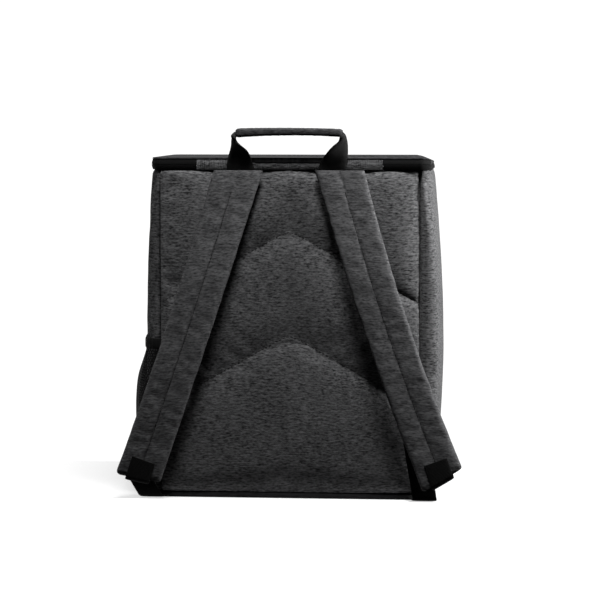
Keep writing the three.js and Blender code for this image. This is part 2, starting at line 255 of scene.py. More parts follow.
lid_cloth = heather("heather polyester, lid, painted darker", "0c0c0d", "2a2a2b")
grip_cloth = heather("heather polyester, grip, painted darker", "171718", "3e3e3f")
# The base cloth is painted near black: painted shade of the strip under the panels.
base_cloth = heather("heather polyester, base, painted shade", "060606", "181819")
body_cloth = heather("heather polyester, woven", "181819", "646465")
strap_cloth = heather("heather polyester, strap", "232324", "585859", 0.9)

# %% [markdown]
# ### Webbing, tape, net and thread
#
# Nylon webbing is woven in ribs across its length, 1.3 mm apart. The zip's tape is coated
# with a matt film, so its ribs are finer and lower, and it stays nearly black.
# Net, elastic and thread are black filament yarn. The slider is a black enamelled casting.

# %% Black finishes
def ribbed(name, colour, rib, depth, roughness, gloss=0.15):
    material, tree, shader = finish(name, roughness, Specular_IOR_Level=gloss)
    flat = node(tree, "ShaderNodeUVMap", uv_map="cut")
    ribs = node(tree, "ShaderNodeTexWave", {"Vector": flat.outputs["UV"], "Scale": math.pi / 10 / (rib * MM),
                "Distortion": 1.5, "Detail": 1.0, "Detail Scale": 3.0}, bands_direction="X")
    tone = pattern(tree, 5.0, 1.5, 2.0, 1.3)
    shade = node(tree, "ShaderNodeMix", {"Factor": tone, "A": linear(colour[0]), "B": linear(colour[1])},
                 data_type="RGBA")
    tree.links.new(shade.outputs["Result"], shader.inputs["Base Color"])
    bump = node(tree, "ShaderNodeBump", {"Height": ribs.outputs["Fac"], "Strength": 0.6,
                "Distance": depth * MM})
    tree.links.new(bump.outputs["Normal"], shader.inputs["Normal"])
    return material


webbing = ribbed("nylon webbing, ribbed", ("030303", "0a0a0a"), 1.3, 0.3, 0.9)
tape = ribbed("coated zip tape", ("090909", "121212"), 0.9, 0.15, 0.8, 0.05)
handle_webbing = ribbed("nylon webbing, worn", ("0b0b0b", "151515"), 1.3, 0.3, 0.9)
elastic_cloth = ribbed("woven elastic", ("0a0a0a", "141414"), 1.4, 0.5, 0.8)
net_yarn = ribbed("knitted net yarn", ("070707", "101010"), 0.8, 0.2, 0.7)
thread = ribbed("polyester thread", ("0a0a0a", "1b1b1b"), 0.5, 0.1, 0.6)
enamel = ribbed("black enamelled zinc", ("0d0d0d", "141414"), 3.0, 0.02, 0.35, 0.5)
print("materials:", len(bpy.data.materials))

# %% [markdown]
# ## How a piece is lofted
#
# Sewn goods are strips and panels, so one tool makes nearly all of them: a skin drawn
# through rings of points, closed flat at both ends. The same tool lays out the cutting
# pattern, by measuring along the loft and round each ring.

# %% Loft
made_pieces = []


def mesh_object(name, points, faces, flat, material, crease=50.0):
    """An object from points in mm, with one UV pair in mm for each corner of each face."""
    mesh = bpy.data.meshes.new(name)
    mesh.from_pydata((np.asarray(points) * MM).tolist(), [], faces)
    layer = mesh.uv_layers.new(name="cut")
    shift = 0.37 * len(made_pieces)
    layer.data.foreach_set("uv", (np.asarray(flat, dtype=float) * MM + shift).ravel())
    mesh.polygons.foreach_set("use_smooth", [True] * len(mesh.polygons))
    mesh.materials.append(material)
    mesh.set_sharp_from_angle(angle=math.radians(crease))
    mesh.update()
    piece = bpy.data.objects.new(name, mesh)
    scene.collection.objects.link(piece)
    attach(piece, "root")
    made_pieces.append(piece)
    return piece


def turned_out(points, faces):
    """True if the faces of a closed mesh point out."""
    volume = 0.0
    for face in faces:
        a = points[face[0]]
        for i in range(1, len(face) - 1):
            volume += np.dot(a, np.cross(points[face[i]], points[face[i + 1]]))
    return volume > 0


def skin(rings, weft="along", planar=False):
    """Points, faces and cutting pattern of a closed skin through rings of points."""
    grid = np.asarray(rings, dtype=float)
    count, size = grid.shape[:2]
    wrapped = np.concatenate([grid, grid[:, :1]], axis=1)
    along = np.zeros((count, size + 1))
    along[1:] = np.cumsum(np.linalg.norm(np.diff(wrapped, axis=0), axis=2), axis=0)
    around = np.zeros((count, size + 1))
    around[:, 1:] = np.cumsum(np.linalg.norm(np.diff(wrapped, axis=1), axis=2), axis=1)
    pair = (along, around) if weft == "along" else (around, along)
    cut = wrapped[:, :, :2] if planar else np.stack(pair, axis=2)
    faces, flat = [], []
    for r in range(count - 1):
        for i in range(size):
            j = (i + 1) % size
            faces.append((r * size + i, r * size + j, (r + 1) * size + j, (r + 1) * size + i))
            flat += [cut[r, i], cut[r, i + 1], cut[r + 1, i + 1], cut[r + 1, i]]
    last = (count - 1) * size
    faces.append(tuple(range(size))[::-1])
    flat += [cut[0, i] for i in range(size)][::-1]
    faces.append(tuple(range(last, last + size)))
    flat += [cut[-1, i] for i in range(size)]
    points = grid.reshape(-1, 3)
    if not turned_out(points, faces):
        corners = iter(flat)
        flat = [uv for face in faces for uv in [next(corners) for _ in face][::-1]]
        faces = [face[::-1] for face in faces]
    return points, faces, flat


def loft(name, rings, material, weft="along", planar=False, crease=50.0, more=()):
    """One object from a set of rings, and from more sets if given."""
    points, faces, flat = skin(rings, weft, planar)
    for extra in more:
        other_points, other_faces, other_flat = skin(extra, weft, planar)
        faces += [tuple(v + len(points) for v in face) for face in other_faces]
        points = np.concatenate([points, other_points])
        flat += other_flat
    return mesh_object(name, points, faces, flat, material, crease)


def smoothstep(value, low, high):
    t = min(max((value - low) / (high - low), 0.0), 1.0)
    return t * t * (3 - 2 * t)


def steps(count, low=0.0, high=1.0):
    return [low + (high - low) * i / count for i in range(count + 1)]


def uneven(point, wave, depth):
    """A soft dent or swelling of the cloth: noise of a given wave length and depth, mm."""
    return depth * noise.noise(Vector(point) / wave)


# %% [markdown]
# ## Padding
#
# Foam sewn between two cloths swells between its seams, and the cloth, held along the
# seams and a little too long for them, puckers there. So the face of a pad is drawn as a
# grid whose rows follow the seams, then simulated as cloth: held at the seams, a few
# thousandths slack, blown out by a light pressure, and kept within a set distance of the
# drawn shape. The result is read back as points, so no simulation stays on the piece.

# %% Cloth simulation
def pillow(drawn, held, outward, pressure, slack, limit, frames=22):
    """The points of a grid in mm after its cloth has swollen between the held points."""
    rows, columns = drawn.shape[:2]
    faces = []
    for r in range(rows - 1):
        for c in range(columns - 1):
            a = r * columns + c
            faces.append((a, a + 1, a + columns + 1, a + columns))
    mesh = bpy.data.meshes.new("cut_cloth")
    mesh.from_pydata((drawn.reshape(-1, 3) * MM).tolist(), [], faces)
    mesh.update()
    lean = sum((p.normal * p.area for p in mesh.polygons), Vector())
    if lean.dot(Vector(outward)) < 0:
        mesh.flip_normals()
    cloth = bpy.data.objects.new("cut_cloth", mesh)
    scene.collection.objects.link(cloth)
    group = cloth.vertex_groups.new(name="held")
    group.add(np.flatnonzero(held.ravel()).tolist(), 1.0, "REPLACE")
    modifier = cloth.modifiers.new("Cloth", "CLOTH")
    fabric = modifier.settings
    fabric.quality = 5
    fabric.mass = 0.15
    fabric.air_damping = 4.0
    fabric.tension_stiffness = 20.0
    fabric.compression_stiffness = 20.0
    fabric.shear_stiffness = 8.0
    fabric.bending_stiffness = 1.0
    fabric.use_pressure = True
    fabric.uniform_pressure_force = pressure
    fabric.shrink_min = -slack
    fabric.vertex_group_mass = "held"
    fabric.effector_weights.gravity = 0.0
    modifier.point_cache.frame_start = 1
    modifier.point_cache.frame_end = frames
    for frame_number in range(1, frames + 1):
        scene.frame_set(frame_number)
    settled = cloth.evaluated_get(bpy.context.evaluated_depsgraph_get()).to_mesh()
    found = np.empty(rows * columns * 3)
    settled.vertices.foreach_get("co", found)
    moved = found.reshape(rows, columns, 3) / MM - drawn
    bpy.data.objects.remove(cloth)
    bpy.data.meshes.remove(mesh)
    scene.frame_set(1)
    far = np.linalg.norm(moved, axis=2, keepdims=True)
    kept = limit * np.tanh(far / limit) / np.maximum(far, 1e-6)
    print("cloth moved, mm: mean", round(float(far.mean()), 2), "most", round(float(far.max()), 2))
    return drawn + moved * kept


def roll(distance, radius, depth):
    """How far a sewn edge is drawn in at a distance from its seam."""
    return depth * (1 - min(distance / radius, 1.0)) ** 2


def slab(face, back):
    """Rings for a loft, from the grids of a panel's face and back, one ring for each column."""
    return np.concatenate([face, back[::-1]], axis=0).transpose(1, 0, 2)


def denser_at_ends(t, amount=0.6):
    return (1 - amount) * t + amount * (0.5 - 0.5 * math.cos(math.pi * t))


# %% [markdown]
# ## Back panel
#
# Three pads between four seams: the hinge seam, two chevrons and the base seam. A chevron
# falls 0.57 mm per mm of width from a rounded point. The right edge turns in to a deep
# seam, where the right light rakes across it, and the left edge only to a shallow one.

# %% Back panel
PANEL_X = SEAM_X - GAP
PAD_RISE = 6.0
CHEVRON_SLOPE = 0.57
CHEVRON_ROUND = 5.0
UPPER_POINT = SEAM_Z - 64.0
LOWER_POINT = UPPER_POINT - 108.0
PANEL_FOOT = FOOT_Z
STRAP_ROOT = 52.0
PAD_ROWS = (34, 38, 48)
PANEL_COLUMNS = 116
SEAM_DEPTH = 0.6
PULL_DEPTH = 5.0
PULL_WIDTH = 33.0
PULL_HEIGHT = 34.0
# For each side: radius and depth of the broad roll of the edge, then of the seam itself
SIDE_SEAM = {-1: ((30.0, 1.5), (3.0, 0.7)), 1: ((34.0, 6.8), (2.4, 2.8))}


def chevron(point, x):
    return point - CHEVRON_SLOPE * (math.hypot(x, CHEVRON_ROUND) - CHEVRON_ROUND)


def strap_pull(x, z):
    """How far the straps' sewn ends draw the panel in."""
    near = ((abs(x) - STRAP_ROOT) / PULL_WIDTH) ** 2 + ((SEAM_Z - z) / PULL_HEIGHT) ** 2
    return PULL_DEPTH * math.exp(-near)


def panel_grid():
    """The drawn face of the back panel, and which of its points a seam holds."""
    grid, held = [], []
    seams_at = lambda x: (SEAM_Z, chevron(UPPER_POINT, x), chevron(LOWER_POINT, x), PANEL_FOOT)
    for pad, count in enumerate(PAD_ROWS):
        for r in range(0 if pad == 0 else 1, count + 1):
            share = denser_at_ends(r / count)
            row = []
            for c in range(PANEL_COLUMNS + 1):
                x = PANEL_X * (2 * denser_at_ends(c / PANEL_COLUMNS, 0.85) - 1)
                seams = seams_at(x)
                z = seams[pad] + (seams[pad + 1] - seams[pad]) * share
                swell = 2.6 + 1.6 * max(math.sin(math.pi * share), 0) ** 0.8
                end = min(seams[0] - z, z - seams[3])
                sewn = 1 + 2.4 * smoothstep(x, 60.0, 130.0) - 0.8 * smoothstep(-x, 60.0, 110.0)
                depth = SEAM_DEPTH * sewn * roll(min(share, 1 - share), 0.1, 1.0)
                depth += roll(end, 5.0, 3.5)
                firmer = 0.35 + 0.65 * smoothstep(z, 40.0, 200.0)
                for radius, deep in SIDE_SEAM[1 if x > 0 else -1]:
                    depth += roll(PANEL_X - abs(x), radius, deep) * firmer
                depth += strap_pull(x, z)
                row.append((x, BACK_Y - swell + depth, z))
            grid.append(row)
            border = r in (0, count)
            held.append([border or c in (0, PANEL_COLUMNS) for c in range(PANEL_COLUMNS + 1)])
    return np.array(grid), np.array(held)


drawn, held = panel_grid()
face = pillow(drawn, held, (0, -1, 0), 2.0, 0.005, 2.0)
for point in face.reshape(-1, 3):
    point[1] += uneven(point, 22.0, 0.3)
panel_face = face
back = drawn.copy()
back[:, :, 1] = BACK_Y + WALL
back_panel = loft("back_panel_cloth", slab(face, back), body_cloth)
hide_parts("back_panel")
print("back panel rows and columns:", face.shape[:2])

# %% [markdown]
# ## Front panel
#
# The hidden front is one plain padded panel between the same seams.

# %% Front panel
def front_grid(rows=70, columns=80):
    grid, held = [], []
    for r in range(rows + 1):
        share = denser_at_ends(r / rows)
        z = SEAM_Z + (PANEL_FOOT - SEAM_Z) * share
        row = []
        for c in range(columns + 1):
            x = PANEL_X * (2 * denser_at_ends(c / columns, 0.45) - 1)
            swell = 3.0 * (1 - abs(x / PANEL_X) ** 4) * math.sin(math.pi * share)
            depth = max(roll(min(SEAM_Z - z, z - PANEL_FOOT), 6.0, 2.5), roll(PANEL_X - abs(x), 7.0, 3.0))
            row.append((x, FRONT_Y + swell - depth, z))
        grid.append(row)
        held.append([r in (0, rows) or c in (0, columns) for c in range(columns + 1)])
    return np.array(grid), np.array(held)


drawn, held = front_grid()
face = pillow(drawn, held, (0, 1, 0), 1.5, 0.004, 2.5)
for point in face.reshape(-1, 3):
    point[1] += uneven(point, 26.0, 0.4)
back = drawn.copy()
back[:, :, 1] = FRONT_Y - WALL
front_panel = loft("front_panel_cloth", slab(face, back), body_cloth)
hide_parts("front_panel")

# %% [markdown]
# ## Side panels
#
# A side panel is one piece of cloth from the back seam round the corner, along the flank
# and round the front corner. A station on it is a turn, the share of the quarter turn at a
# corner, and a run, from -1 at the back corner to 1 at the front one.

# %% Side panels
BODY_DEPTH = FRONT_Y - BACK_Y
# The cloth is measured round a corner 1 mm inside its radius, and along the whole panel
CORNER_RUN = 0.5 * math.pi * 17.0
SIDE_RUN = 2 * CORNER_RUN + BODY_DEPTH - 2 * CORNER
SIDE_ROLL = {-1: ((20.0, 1.5), (3.0, 0.7)), 1: ((20.0, 5.5), (2.4, 2.8))}


def side_point(side, station, z, outset=0.0):
    turn, run = station
    up = min(max(z / SEAM_Z, 0.0), 1.0)
    angle = turn * math.pi / 2
    swell = math.sin(math.pi * up)
    flank = (FOOT_WIDTH + (RIM_WIDTH - FOOT_WIDTH) * up) / 2
    flank += swell * (SIDE_SWELL + SIDE_BOW * (1 - run * run))
    face_x, face_y = math.sin(angle), math.copysign(math.cos(angle), run)
    flank += swell * SIDE_TRIM[side]
    x = SEAM_X + (flank - SEAM_X) * face_x + outset * face_x
    y = run * (BODY_DEPTH / 2 - CORNER) + CORNER * face_y + outset * face_y
    return side * x, y, z


def side_stations(corner=14, flank=40):
    ends = [(t ** 1.8, -1.0) for t in steps(corner)]
    ends += [(1.0, 2 * t - 1) for t in steps(flank)[1:-1]]
    return ends + [(t ** 1.8, 1.0) for t in steps(corner)[::-1]]


def side_grid(side, rows=72):
    stations = side_stations()
    grid, held, inner = [], [], []
    for r in range(rows + 1):
        z = FOOT_Z + (SEAM_Z - FOOT_Z) * denser_at_ends(r / rows)
        row, lining = [], []
        for turn, run in stations:
            walked = CORNER_RUN + (run + 1) / 2 * (SIDE_RUN - 2 * CORNER_RUN)
            if run < 0 and turn < 1:
                walked = turn * CORNER_RUN
            if run == 1.0:
                walked = SIDE_RUN - turn * CORNER_RUN
            to_seam = min(walked, SIDE_RUN - walked)
            depth = roll(min(SEAM_Z - z, z - FOOT_Z), 5.0, 2.0)
            for radius, deep in SIDE_ROLL[side]:
                depth += roll(to_seam, radius, deep)
            row.append(side_point(side, (turn, run), z, -depth))
            lining.append(side_point(side, (turn, run), z, -WALL))
        grid.append(row)
        inner.append(lining)
        held.append([r in (0, rows) or c in (0, len(stations) - 1) for c in range(len(stations))])
    return np.array(grid), np.array(held), np.array(inner)


for side, word in ((-1, "left"), (1, "right")):
    drawn, held, lining = side_grid(side)
    face = pillow(drawn, held, (side, 0, 0), 1.2, 0.003, 1.8)
    for point in face.reshape(-1, 3):
        point[0] += side * uneven(point, 24.0, 0.4)
    panel = loft("side_panel_cloth_" + word, slab(face, lining), body_cloth)
    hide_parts("side_panel_" + word)

# %% [markdown]
# ## Plan rings
#
# The zip, the lid and the base follow the bag's whole outline. The rim dips between the
# handle's legs, and its right side droops from the back corner to the front.

# %% Plan of the bag
HINGE_X = hinge_high.x + GAP
DIP = 4.0
DROOP = 7.0


def zip_run(z, outset, corner=14, flank=36):
    """The outline from one end of the hinge round the front to its other end."""
    stations = side_stations(corner, flank)
    back = [HINGE_X + (SEAM_X - HINGE_X) * t for t in steps(10)[:-1]]
    front = [SEAM_X * (1 - 2 * t) for t in steps(60)[1:-1]]
    run = [(x, BACK_Y - outset, z) for x in back]
    run += [side_point(1, s, z, outset) for s in stations]
    run += [(x, FRONT_Y + outset, z) for x in front]
    run += [side_point(-1, s, z, outset) for s in stations[::-1]]
    return run + [(-x, BACK_Y - outset, z) for x in back[::-1]]


def plan_ring(z, outset):
    hinge_part = [(HINGE_X * (2 * t - 1), BACK_Y - outset, z) for t in steps(48)[1:-1]]
    return zip_run(z, outset) + hinge_part


def dip(x, y):
    """How far the rim dips in the middle of its back edge."""
    return DIP * (1 - smoothstep(abs(x), 26.0, 66.0)) * (1 - smoothstep(y, BACK_Y, 60.0))


def sag(x, y, z):
    """How far a point of the rim hangs below its drawn place."""
    corner = smoothstep(x, 124.0, 150.0) * smoothstep(y, BACK_Y, BACK_Y + 50.0)
    return (dip(x, y) + DROOP * corner) * smoothstep(z, SEAM_Z - 4.0, SEAM_Z + 8.0)


def sagged(rings):
    return [[(x, y, z - sag(x, y, z)) for x, y, z in ring] for ring in rings]


# %% [markdown]
# ## Base
#
# The floor of the bag is a padded board of the body cloth, painted darker as shade, rounded at
# its lower edge. It stands a little proud of the panels, as a low dark strip under them.

# %% Base
BASE_TOP = box_mm("base_panel")[1].z
BASE_ROUND = 1.4
BASE_PROUD = 1.6
base_rings = []
for t in steps(6):
    angle = t * math.pi / 2
    out = BASE_PROUD - BASE_ROUND * (1 - math.sin(angle))
    base_rings.append(plan_ring(BASE_ROUND * (1 - math.cos(angle)), out))
base_rings.append(plan_ring(BASE_TOP * 0.5, BASE_PROUD))
base_rings.append(plan_ring(BASE_TOP * 0.8, 0.2))
base_rings.append(plan_ring(BASE_TOP, -2.0))
base = loft("base_cloth", base_rings, base_cloth, weft="around")
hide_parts("base_panel")
print("base rings:", len(base_rings))

# %% [markdown]
# ## Zip
#
# Two coated tapes meet along the teeth, which they hide. Each tape is a strip with a
# rounded face, and a narrow groove is left where they meet.

# %% Zip tapes
TAPE_THICKNESS = 2.2
TAPE_PROUD = 1.3
TAPE_JOIN = 0.4


def tape_rings(low, high, low_out, high_out):
    face, back = [], []
    for t in steps(8):
        z = low + (high - low) * t
        out = low_out + (high_out - low_out) * (math.sin(math.pi / 2 * t) if high_out > low_out
                                                else 1 - math.cos(math.pi / 2 * t))
        face.append(zip_run(z, out))
        back.append(zip_run(z, out - TAPE_THICKNESS))
    return slab(np.array(sagged(face)), np.array(sagged(back)))


zip_middle = (SEAM_Z + GAP + RIM_Z) / 2
lower_rings = tape_rings(SEAM_Z + GAP, zip_middle - TAPE_JOIN / 2, 0.0, TAPE_PROUD)
lower_tape = loft("zip_tape_lower_strip", lower_rings, tape)
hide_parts("zip_tape_lower")
upper_rings = tape_rings(zip_middle + TAPE_JOIN / 2, RIM_Z, TAPE_PROUD, 0.0)
upper_tape = loft("zip_tape_upper_strip", upper_rings, tape)
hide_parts("zip_tape_upper")

# %% [markdown]
# ## Hinge
#
# Between the ends of the zip the lid hangs on a strip of the body cloth. It is gathered
# on its two seams, so it stands in fine upright puckers about 2.3 mm apart.

# %% Hinge
HINGE_FOLD = 0.9
PUCKER = 2.3
PUCKER_DEPTH = 0.5


def hinge_rings(columns=330, rows=10):
    face, back = [], []
    for t in steps(rows):
        front_row, back_row = [], []
        for s in steps(columns):
            x = (hinge_high.x - 0.1) * (2 * s - 1)
            top = RIM_Z - sag(x, BACK_Y, RIM_Z)
            z = SEAM_Z + GAP + (top - SEAM_Z - GAP) * t
            drift = 1.4 * noise.noise((x / 9.0, 3.1, 0.0))
            strength = 0.6 + 0.8 * noise.noise((x / 5.0, 0.7, t))
            ripple = math.sin(2 * math.pi * x / PUCKER + 2.5 * drift) * strength
            out = HINGE_FOLD * math.sin(math.pi * t) + PUCKER_DEPTH * ripple * math.sin(math.pi * t) ** 0.5
            front_row.append((x, BACK_Y - out, z))
            back_row.append((x, BACK_Y - HINGE_FOLD * math.sin(math.pi * t) + 2.2, z))
        face.append(front_row)
        back.append(back_row)
    return slab(np.array(face), np.array(back))


hinge = loft("lid_hinge_cloth", hinge_rings(), body_cloth, crease=60.0)
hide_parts("lid_hinge")

# %% [markdown]
# ## Lid
#
# A boxy lid: its skirt stands inside the tape, its lip lies on the tape's edge, and its
# top is a padded panel with a low crown.

# %% Lid
LID_THICKNESS = 7.0
LID_LIP = 1.4
LID_CROWN = 0.4
EDGE_FALL = 0.6
lip_z = RIM_Z + GAP
inside = -(TAPE_THICKNESS + GAP)
lid_rings = [plan_ring(lip_z + LID_LIP - LID_THICKNESS, inside), plan_ring(lip_z, inside)]
for t in steps(8):
    angle = math.pi * t - math.pi / 2
    out = GAP + 0.6 * abs(math.cos(angle)) ** 0.5 - 0.9 * t
    lid_rings.append(plan_ring(lip_z + LID_LIP / 2 * (1 + math.sin(angle)), out))
lid_rings = sagged(lid_rings)
LIP_RINGS = range(2, len(lid_rings))
for r in LIP_RINGS:
    share = (r - 2) / (len(LIP_RINGS) - 1)
    lid_rings[r] = [(x, y, z + dip(x, y) * smoothstep(share, 0.0, 1.0)) for x, y, z in lid_rings[r]]
crown_start = np.array(lid_rings[-1])
for t in steps(26)[1:]:
    ring = crown_start.copy()
    ring[:, :2] *= 1 - 0.92 * t
    ring[:, 2] += LID_CROWN * (1 - (1 - t) ** 3) - EDGE_FALL * smoothstep(t, 0.0, 0.06)
    lid_rings.append([tuple(p) for p in ring])
for ring in lid_rings[len(LIP_RINGS) + 3:]:
    for i, point in enumerate(ring):
        ring[i] = (point[0], point[1], point[2] + uneven(point, 28.0, 0.4))
lid = loft("lid_cloth", lid_rings, lid_cloth, planar=True)
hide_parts("lid_panel")
print("lid rings:", len(lid_rings))

# %% [markdown]
# ## Zip slider
#
# A cast slider with a plain tab hangs in the middle of the front, where the zip closes.

# %% Zip slider
slider_low, slider_high = box_mm("zip_slider")
slider_y = slider_low.y
slider_x = slider_high.x
slider_tall = slider_high.z - slider_low.z


def tab_ring(inset, y):
    ring = []
    for k in range(32):
        angle = 2 * math.pi * k / 32
        straight = slider_tall / 2 - slider_x
        z = (slider_low.z + slider_high.z) / 2 + math.copysign(straight, math.sin(angle))
        ring.append(((slider_x - inset) * math.cos(angle), y, z + (slider_x - inset) * math.sin(angle)))
    return ring


thick = slider_high.y - slider_low.y
# How far in from the outline, and how far out from the front
tab_profile = ((0.5, 0.0), (0.0, 0.5), (0.0, 2.2), (0.25, 2.7),
               (0.9, thick), (1.8, thick), (2.2, thick - 0.5))
slider = loft("zip_slider_tab", [tab_ring(inset, slider_y + deep) for inset, deep in tab_profile],
              enamel, crease=35.0)
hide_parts("zip_slider")

# %% [markdown]
# ## Bands
#
# Webbing, elastic and the handle are bands: a rounded flat section carried along a route.
# A few given sections are joined by a smooth curve through them.

# %% Bands
def band_ring(centre, across, facing, width, thickness, around=24):
    """A flat section with rounded edges."""
    ring = []
    for k in range(around):
        angle = 2 * math.pi * (k + 0.5) / around
        c, s = math.cos(angle), math.sin(angle)
        a = math.copysign(abs(c) ** 0.45, c) * width / 2
        f = math.copysign(abs(s) ** 0.7, s) * thickness / 2
        ring.append(np.array(centre) + np.array(across) * a + np.array(facing) * f)
    return ring


def smooth_rows(keys, count):
    """Rows of numbers evenly along a smooth curve through the key rows."""
    keys = np.asarray(keys, dtype=float)
    padded_keys = np.concatenate([[2 * keys[0] - keys[1]], keys, [2 * keys[-1] - keys[-2]]])
    found = []
    for s in steps(count, 0.0, len(keys) - 1.0):
        i = min(int(s), len(keys) - 2)
        t = s - i
        p0, p1, p2, p3 = padded_keys[i:i + 4]
        found.append(0.5 * (2 * p1 + (p2 - p0) * t + (2 * p0 - 5 * p1 + 4 * p2 - p3) * t ** 2
                            + (3 * p1 - p0 - 3 * p2 + p3) * t ** 3))
    return np.array(found)


def unit(v):
    return np.asarray(v, dtype=float) / np.linalg.norm(v)


# %% [markdown]
# ## Handle
#
# One length of webbing makes both legs. Flat on the hinge seam, it folds and turns as it
# rises, and goes edge-on into a sleeve of body cloth, which is the grip. The inner edge of
# each leg swings in a curve from the foot to the grip.

# %% Handle
grip_low, grip_high = box_mm("handle_grip")
GRIP_X = grip_high.x
HANDLE_Y = (grip_low.y + grip_high.y) / 2
GRIP_Z = grip_low.z + 4.0
GRIP_ARCH = 1.4


def grip_rings(rows=70, around=40):
    rings = []
    for t in steps(rows):
        share = 2 * t - 1
        lift = 1 - share * share
        end = min(1 - abs(share), 0.06) / 0.06
        thick = (4.5 - 0.6 * lift - 0.3 * share) * (0.72 + 0.28 * end ** 0.5)
        deep = 11.5 * (0.9 + 0.1 * end ** 0.5)
        ring = []
        for k in range(around):
            angle = 2 * math.pi * k / around
            c, s = math.cos(angle), math.sin(angle)
            y = HANDLE_Y + deep * math.copysign(abs(c) ** 0.35, c)
            z = GRIP_Z + GRIP_ARCH * lift + thick * math.copysign(abs(s) ** 0.55, s)
            crease = uneven((share * GRIP_X * 2.2, y, z), 7.0, 0.3)
            ring.append((share * (GRIP_X - 1.5), y, z + crease * abs(s)))
        rings.append(ring)
    return rings


grip = loft("handle_grip_sleeve", grip_rings(), grip_cloth)
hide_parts("handle_grip")

FOLDED_WIDTH = 30.0

# Height, inner and outer edge, thickness, quarter turns, lean towards the wearer
LEG_LEFT = [
    (SEAM_Z + 0.4, 35.0, 65.0, 2.0, 0.0, 0.0),
    (346.5, 37.3, 64.6, 2.1, 0.02, 1.0),
    (353.8, 39.2, 63.5, 2.4, 0.12, 2.6),
    (358.0, 40.3, 62.9, 2.6, 0.25, 3.2),
    (362.1, 42.7, 62.2, 3.0, 0.4, 3.4),
    (366.2, 47.5, 61.7, 3.6, 0.6, 3.0),
    (370.3, 51.9, 61.5, 4.4, 0.8, 1.8),
    (374.4, 53.6, 60.9, 4.6, 0.95, 0.8),
    (378.0, 54.0, 58.8, 4.0, 1.0, 0.3),
    (380.3, 54.0, 56.6, 2.6, 1.0, 0.0),
]
LEG_RIGHT = [
    (SEAM_Z + 0.4, 30.0, 57.8, 2.0, 0.0, 0.0),
    (346.5, 31.0, 58.6, 2.1, 0.02, 1.0),
    (353.8, 34.8, 60.2, 2.4, 0.12, 2.6),
    (358.0, 38.0, 60.8, 2.6, 0.25, 3.2),
    (362.1, 41.1, 61.0, 3.0, 0.4, 3.4),
    (366.2, 45.0, 61.0, 3.6, 0.6, 3.0),
    (370.3, 49.8, 60.4, 4.4, 0.8, 1.8),
    (374.4, 51.8, 58.9, 4.6, 0.95, 0.8),
    (378.0, 52.4, 57.2, 4.0, 1.0, 0.3),
    (380.4, 52.2, 54.8, 2.6, 1.0, 0.0),
]


def leg_rings(side, table):
    rings = []
    for z, inner, outer, thickness, turn, forth in smooth_rows(table, 44):
        angle = turn * math.pi / 2
        across = np.array((math.cos(angle), side * math.sin(angle), 0.0))
        facing = np.array((-across[1], across[0], 0.0))
        seen = outer - inner
        width = min((seen - thickness * abs(facing[0])) / max(abs(across[0]), 0.05), FOLDED_WIDTH)
        if turn > 0.75:
            thickness = (seen - width * abs(across[0])) / abs(facing[0])
        centre = (side * (inner + outer) / 2, HANDLE_Y - forth, z)
        rings.append(band_ring(centre, across, facing, width, min(max(thickness, 1.8), 7.6)))
    return rings


for side, word, table in ((-1, "left", LEG_LEFT), (1, "right", LEG_RIGHT)):
    leg = loft("handle_leg_" + word, leg_rings(side, table), handle_webbing)
    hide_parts("handle_webbing_" + word)

# %% [markdown]
# ## Shoulder straps
#
# Each strap leaves the hinge seam, hangs clear of the panel, and swings out to the bottom
# corner. It is a foam strip in the strap cloth, with turned edges and one row of stitches
# down its middle, which makes two low lobes. Its path is set by shares of its length.

# %% Strap path
STRAP_WIDTH = 46.0
STRAP_THICKNESS = 9.0
STRAP_CLEARANCE = 13.0
STRAP_REACH = 105.0
STRAP_END = 24.0
# tuck: the top of the rear webbing behind the strap; the black it shows beside the strap is partly painted
# shade
STRAPS = {
    "left": dict(side=-1, reach=0.985, curl=0.14, end=0.96, forth=0.0, skew=0.13, bow=1.0,
                 tuck=(-156.0, -103.0, 24.0), foot=(-144.0, -97.0)),
    "right": dict(side=1, reach=1.02, curl=0.3, end=1.08, forth=0.22, skew=-0.19, bow=2.8,
                  tuck=(131.0, -107.0, 62.0), foot=(141.0, -103.0)),
}

# Share of the way down; shares of the air, padding, thickness and width
STRAP_ROWS = np.array([
    (0.0, 0.0, 0.8, 0.85, 1.06),
    (0.015, 0.01, 0.9, 0.92, 1.06),
    (0.04, 0.03, 0.95, 0.97, 1.06),
    (0.12, 0.15, 1.0, 1.0, 1.03),
    (0.35, 0.75, 1.0, 1.0, 1.0),
    (0.65, 1.0, 1.0, 1.0, 0.98),
    (0.93, 1.0, 1.0, 1.0, 1.0),
    (1.0, 1.0, 1.0, 0.9, 1.02),
])


def strap_share(t, column):
    return float(np.interp(t, STRAP_ROWS[:, 0], STRAP_ROWS[:, column]))


def strap_middle(strap, s):
    off = GAP + strap_share(s, 3) * STRAP_THICKNESS / 2 + strap_share(s, 2) * PAD_RISE
    off += strap_share(s, 1) * STRAP_CLEARANCE + strap["forth"] * STRAP_WIDTH * s * s
    reach = strap["reach"] * STRAP_REACH * s * (1 - strap["curl"] + strap["curl"] * s)
    reach += strap["bow"] * max(math.sin(math.pi * s), 0.0) ** 0.6
    height = SEAM_Z - GAP + (strap["end"] * STRAP_END - SEAM_Z + GAP) * s
    return np.array((strap["side"] * (STRAP_ROOT + reach), BACK_Y - off, height))


def strap_frame(strap, t, nudge=0.03):
    """Middle of the strap, and its directions down, across and facing the wearer."""
    reach = min(nudge, t, 1 - t)
    spread = [strap_middle(strap, min(max(t + k * reach, 0.0), 1.0)) for k in (-1, -0.5, 0, 0.5, 1)]
    middle = sum(spread) / 5
    ahead = strap_middle(strap, min(t + nudge, 1.0))
    down = unit(ahead - strap_middle(strap, max(t - nudge, 0.0)))
    across = np.array((float(strap["side"]), 0.0, 0.0))
    across = unit(across - down * across.dot(down))
    facing = np.cross(down, across) * strap["side"]
    return middle, down, across, facing if facing[1] < 0 else -facing


